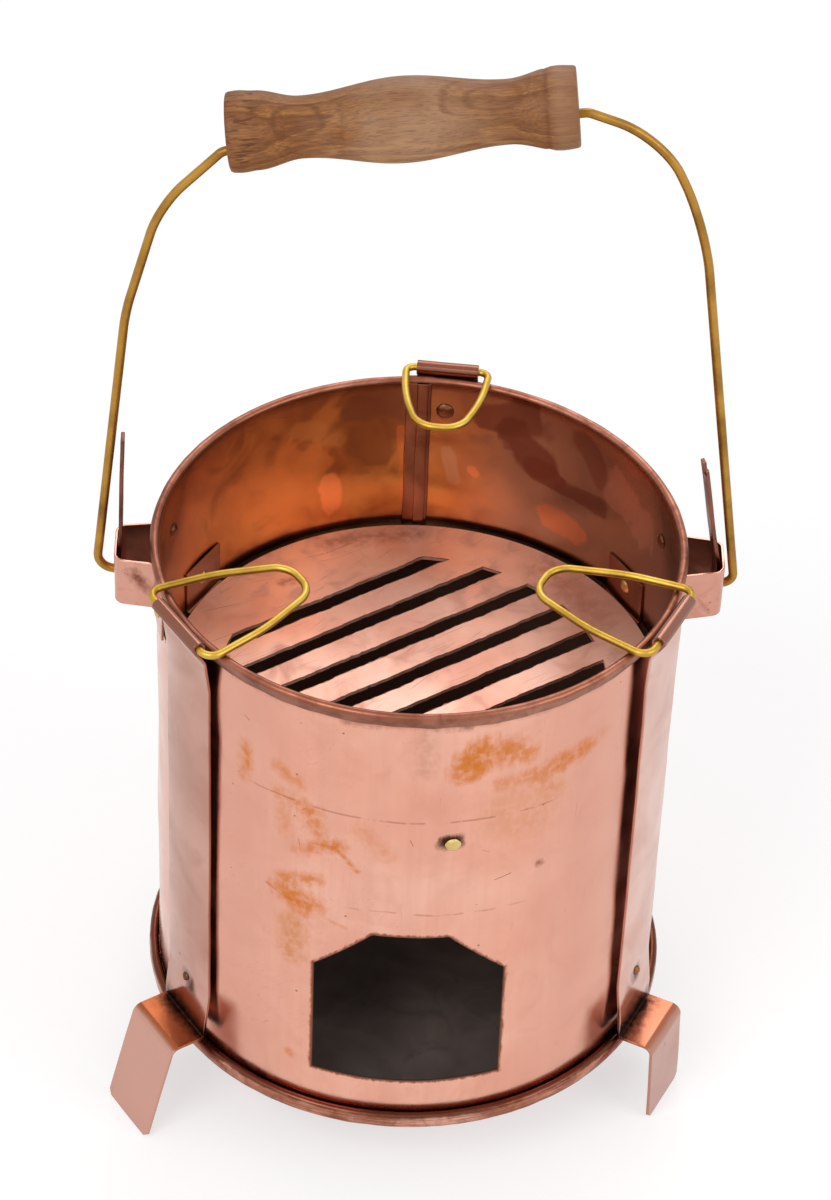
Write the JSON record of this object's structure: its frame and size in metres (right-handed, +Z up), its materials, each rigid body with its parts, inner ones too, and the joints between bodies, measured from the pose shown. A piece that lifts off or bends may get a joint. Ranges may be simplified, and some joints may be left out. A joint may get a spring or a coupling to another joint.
{
  "type": "charcoal brazier",
  "caption": "Riveted sheet-copper charcoal brazier with a slotted grate, folding wire pot rests, strap feet and a brass bail with a turned wooden grip.",
  "frame": {"origin": "on the drum's axis, at floor level between the feet", "axes": "+Z up along the drum's axis; the air door faces -Y; the bail turns about a line along X"},
  "size_m": [0.2475, 0.2272, 0.4578],
  "materials": {
    "copper": "satin, lightly tarnished copper sheet",
    "dark_copper": "satin, heat-darkened copper",
    "brass": "satin drawn wire",
    "steel_wire": "plain drawn wire, hidden in the rim",
    "beech": "satin, oiled"
  },
  "bodies": {
    "brazier": {"drum": "copper", "rim_wire": "steel_wire", "base_plate": "copper", "grate_bracket_left": "dark_copper", "grate_bracket_right": "dark_copper", "grate_bracket_front": "dark_copper", "leg_left": "copper", "leg_right": "copper", "leg_back": "copper", "lug_left": "copper", "lug_right": "copper", "handle_stay_left": "dark_copper", "handle_stay_right": "dark_copper", "strap_rivets_upper": "brass", "strap_rivets_lower": "brass", "bracket_rivets": "brass", "lug_rivets": "brass"},
    "grate": {"grate": "copper"},
    "bail": {"bail_wire": "brass"},
    "grip": {"grip": "beech"},
    "rest_left": {"pot_rest_left": "brass"},
    "rest_right": {"pot_rest_right": "brass"},
    "rest_back": {"pot_rest_back": "brass"}
  },
  "joints": [
    {"name": "bail_swing", "type": "hinge", "parent": "brazier", "child": "bail", "pos_m": [0, 0.0045, 0.225], "axis": [1, 0, 0], "range_deg": [-135, 135]},
    {"name": "grip_turn", "type": "hinge", "parent": "bail", "child": "grip", "pos_m": [-0.011, 0.0045, 0.4305], "axis": [0.9877, 0, 0.1564], "continuous": true},
    {"name": "grate_lift", "type": "slide", "parent": "brazier", "child": "grate", "axis": [0, 0, 1], "range_m": [0, 0.05]},
    {"name": "rest_left_fold", "type": "hinge", "parent": "brazier", "child": "rest_left", "pos_m": [-0.08957, -0.05706, 0.24875], "axis": [0.5373, -0.8434, 0], "range_deg": [0, 240]},
    {"name": "rest_right_fold", "type": "hinge", "parent": "brazier", "child": "rest_right", "pos_m": [0.09488, -0.04772, 0.24875], "axis": [0.4493, 0.8934, 0], "range_deg": [0, 240]},
    {"name": "rest_back_fold", "type": "hinge", "parent": "brazier", "child": "rest_back", "pos_m": [0.0113, 0.10399, 0.24875], "axis": [-0.9942, 0.108, 0], "range_deg": [0, 240]}
  ]
}
